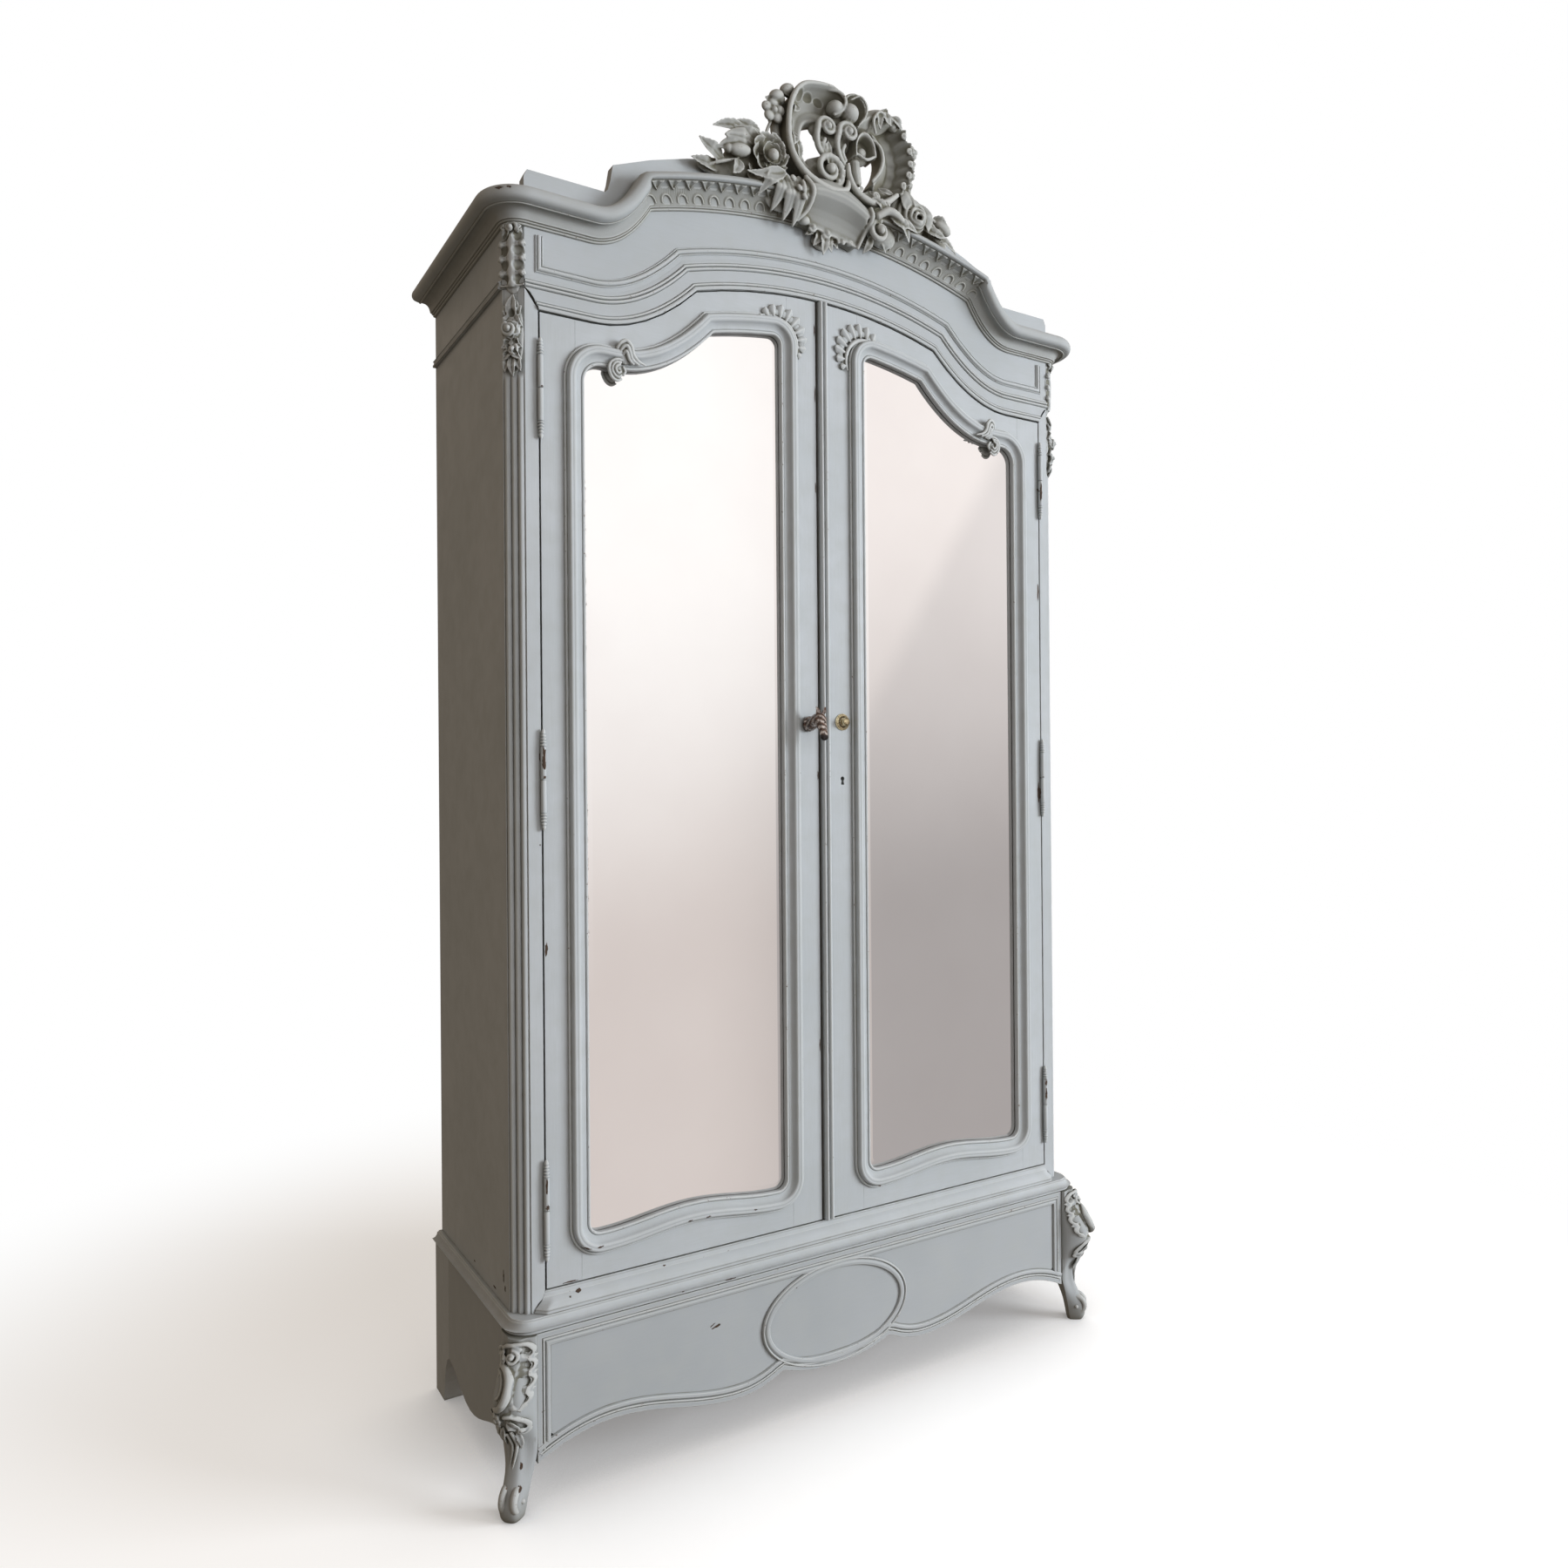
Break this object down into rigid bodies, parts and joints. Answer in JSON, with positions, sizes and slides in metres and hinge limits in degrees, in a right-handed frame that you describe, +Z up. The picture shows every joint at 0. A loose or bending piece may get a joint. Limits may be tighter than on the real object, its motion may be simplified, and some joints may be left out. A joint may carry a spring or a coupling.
{
  "type": "armoire",
  "caption": "Painted armoire with two mirrored doors, scrolled front feet, a hidden base drawer, a hat-shaped cornice and a pierced carved crest.",
  "frame": {"origin": "centre of the footprint at floor level", "axes": "+X to the viewer's right across the front, +Y from the doors to the back, +Z up"},
  "size_m": [1.368, 0.5151, 2.555],
  "materials": {
    "painted_wood": "aged pale blue-grey paint, chipped at the edges",
    "bare_wood": "unfinished",
    "mirror_glass": "polished",
    "painted_iron": "painted over, rubbed at the edges",
    "brass": "dulled",
    "dark_bronze": "dark patina"
  },
  "bodies": {
    "carcass": {"front_leg_left": "painted_wood", "front_leg_right": "painted_wood", "back_leg_left": "painted_wood", "back_leg_right": "painted_wood", "side_apron_left": "painted_wood", "side_apron_right": "painted_wood", "base_back_rail": "bare_wood", "base_moulding": "painted_wood", "door_sill": "painted_wood", "floor_board": "bare_wood", "drawer_runner_left": "bare_wood", "drawer_runner_right": "bare_wood", "corner_post_left": "painted_wood", "corner_post_right": "painted_wood", "side_panel_left": "painted_wood", "side_panel_right": "painted_wood", "back_panel": "bare_wood", "shelf": "bare_wood", "crown_frieze": "painted_wood", "crown_side_left": "painted_wood", "crown_side_right": "painted_wood", "dust_board": "bare_wood", "cornice": "painted_wood", "crest": "painted_wood", "hinge_pin_left_1": "painted_iron", "hinge_pin_left_2": "painted_iron", "hinge_pin_left_3": "painted_iron", "hinge_pin_right_1": "painted_iron", "hinge_pin_right_2": "painted_iron", "hinge_pin_right_3": "painted_iron"},
    "left_door": {"left_door_hinge_stile": "painted_wood", "left_door_lock_stile": "painted_wood", "left_door_top_rail": "painted_wood", "left_door_bottom_rail": "painted_wood", "left_door_surround": "painted_wood", "left_door_mirror": "mirror_glass", "left_door_backing": "bare_wood", "hinge_sleeve_left_1": "painted_iron", "hinge_sleeve_left_2": "painted_iron", "hinge_sleeve_left_3": "painted_iron", "zebra_knob": "dark_bronze"},
    "right_door": {"right_door_hinge_stile": "painted_wood", "right_door_lock_stile": "painted_wood", "right_door_top_rail": "painted_wood", "right_door_bottom_rail": "painted_wood", "right_door_surround": "painted_wood", "right_door_mirror": "mirror_glass", "right_door_backing": "bare_wood", "hinge_sleeve_right_1": "painted_iron", "hinge_sleeve_right_2": "painted_iron", "hinge_sleeve_right_3": "painted_iron", "brass_knob": "brass", "astragal": "painted_wood"},
    "drawer": {"drawer_front": "painted_wood", "drawer_side_left": "bare_wood", "drawer_side_right": "bare_wood", "drawer_back": "bare_wood", "drawer_bottom": "bare_wood"},
    "lock_bolt": {"lock_bolt": "painted_iron"},
    "left_door_bolt": {"left_door_bolt": "painted_iron"}
  },
  "joints": [
    {"name": "left_door_hinge", "type": "hinge", "parent": "carcass", "child": "left_door", "pos_m": [-0.5808, -0.1995, 0.351], "axis": [0, 0, -1], "range_deg": [0, 110]},
    {"name": "right_door_hinge", "type": "hinge", "parent": "carcass", "child": "right_door", "pos_m": [0.5808, -0.1995, 0.351], "axis": [0, 0, 1], "range_deg": [0, 110]},
    {"name": "drawer_slide", "type": "slide", "parent": "carcass", "child": "drawer", "axis": [0, -1, 0], "range_m": [0, 0.32]},
    {"name": "lock_bolt_slide", "type": "slide", "parent": "right_door", "child": "lock_bolt", "axis": [-1, 0, 0], "range_m": [0, 0.014]},
    {"name": "left_door_bolt_slide", "type": "slide", "parent": "left_door", "child": "left_door_bolt", "axis": [0, 0, 1], "range_m": [0, 0.02]}
  ]
}
